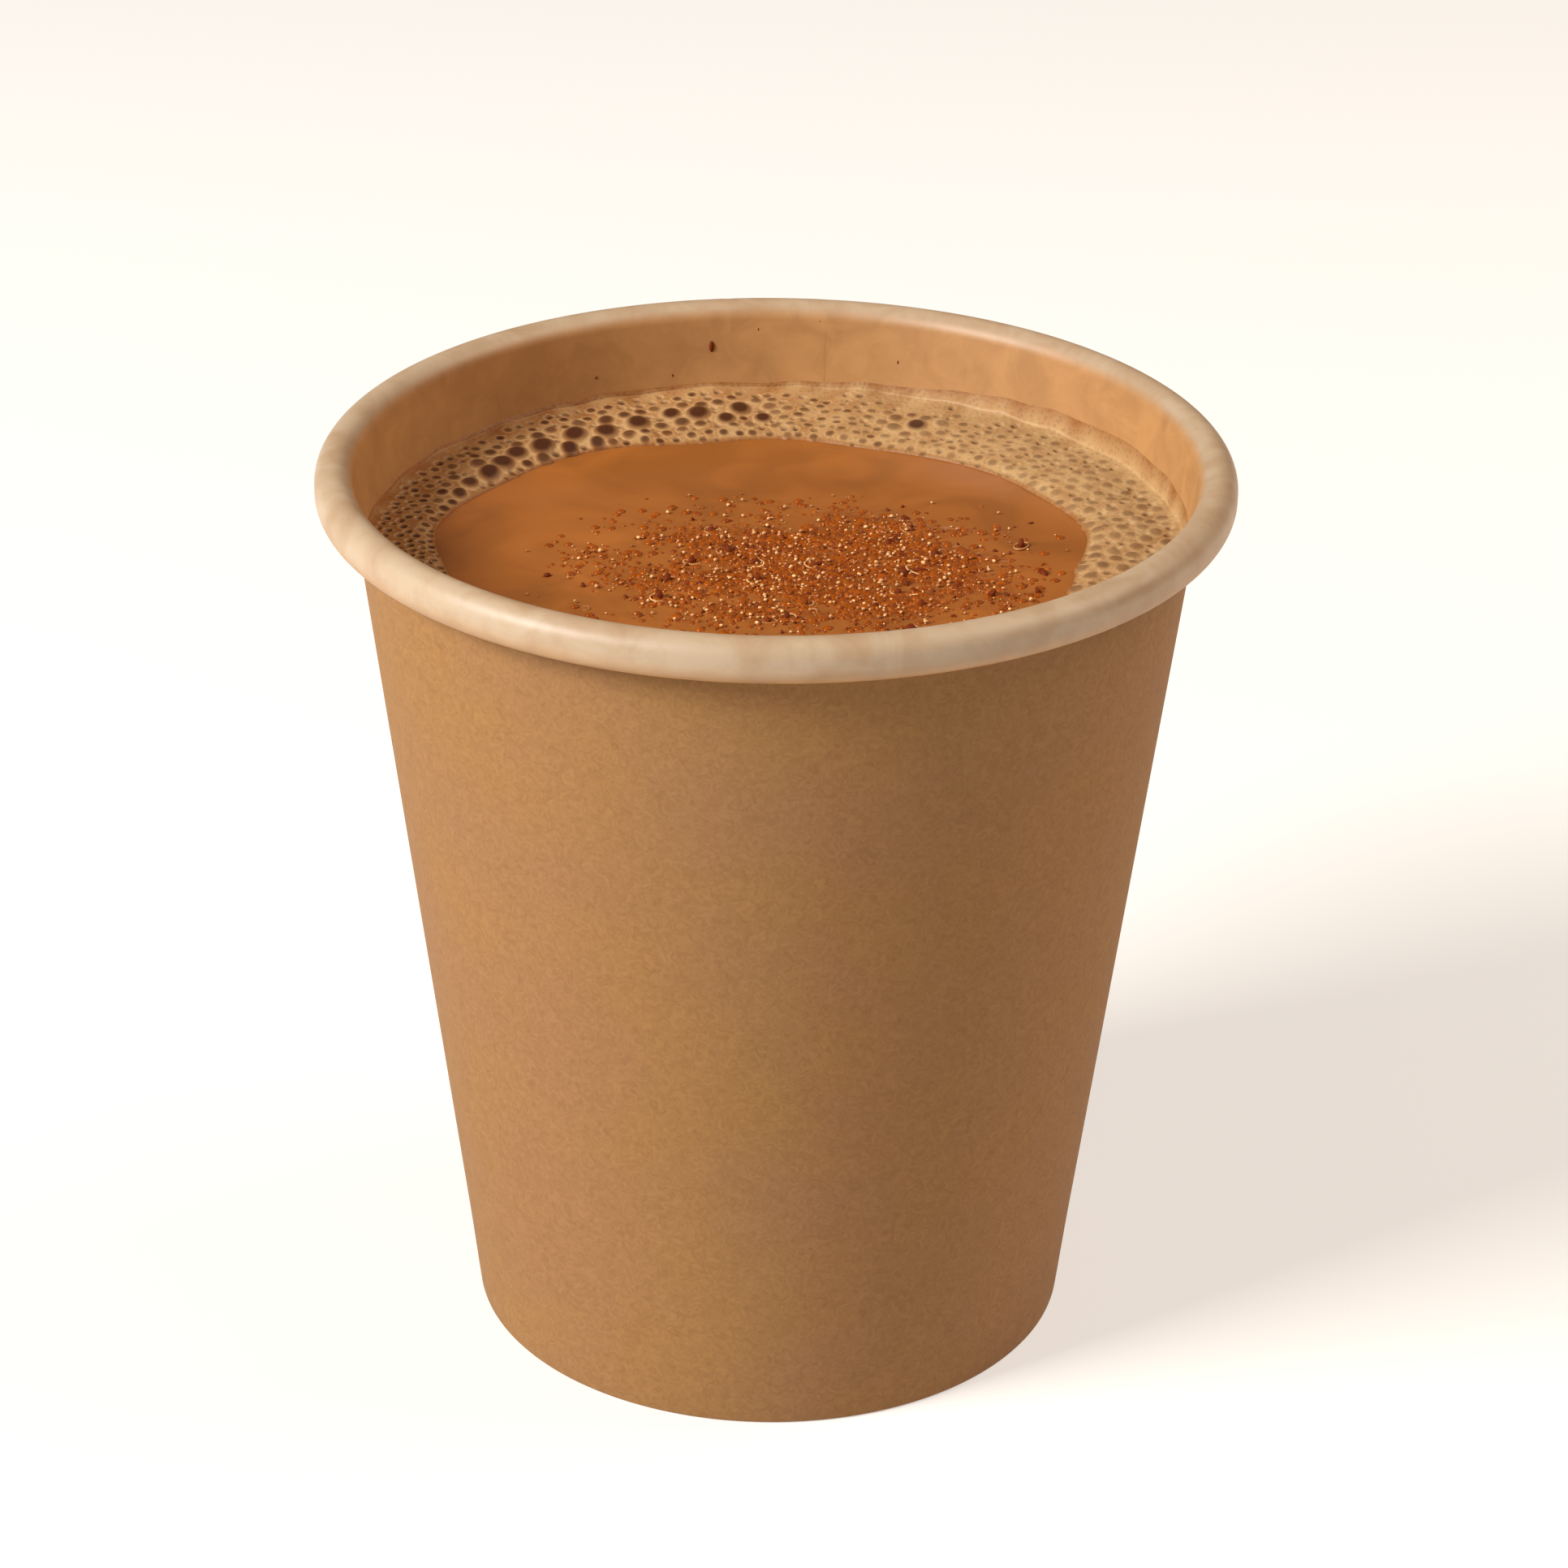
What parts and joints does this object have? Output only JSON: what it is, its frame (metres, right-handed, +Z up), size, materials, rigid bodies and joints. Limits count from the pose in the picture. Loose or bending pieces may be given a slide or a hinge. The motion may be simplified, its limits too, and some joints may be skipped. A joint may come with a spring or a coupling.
{
  "type": "masala chai",
  "caption": "Masala chai in a plain kraft paper cup with a rolled rim, filled almost to the brim, with a ring of froth and ground spice afloat.",
  "frame": {"origin": "on the table, at the middle of the cup's foot", "axes": "+Z up along the cup's axis; the cup's glued lap faces +Y, so that -Y is the plain front; +X to the right seen from the front"},
  "size_m": [0.074, 0.074, 0.076],
  "materials": {
    "kraft_board": "matte",
    "milky_tea": "gloss",
    "tea_froth": "satin",
    "ground_spice": "matte"
  },
  "bodies": {
    "root": {"cup_wall": "kraft_board", "cup_floor": "kraft_board", "chai": "milky_tea", "froth": "tea_froth"}
  },
  "joints": []
}
